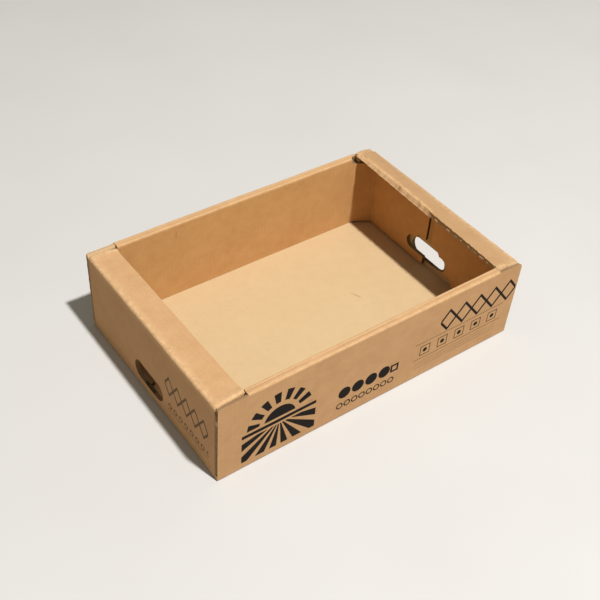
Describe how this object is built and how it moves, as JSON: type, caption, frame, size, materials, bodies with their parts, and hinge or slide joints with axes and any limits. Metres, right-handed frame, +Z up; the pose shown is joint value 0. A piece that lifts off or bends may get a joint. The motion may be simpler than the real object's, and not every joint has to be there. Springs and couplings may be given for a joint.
{
  "type": "cardboard tray box",
  "caption": "Open tray folded from double-wall corrugated board, with rolled long rims, hollow corner columns, shelves over the ends and a hand hole in each end wall.",
  "frame": {"origin": "centre of the underside", "axes": "+X along the tray towards one end wall, +Y to the long wall at the back, +Z up out of the tray's mouth"},
  "size_m": [0.6, 0.4, 0.1703],
  "materials": {
    "kraft_board": "matt uncoated kraft paper with dark brown print"
  },
  "bodies": {
    "root": {"tray": "kraft_board"}
  },
  "joints": []
}
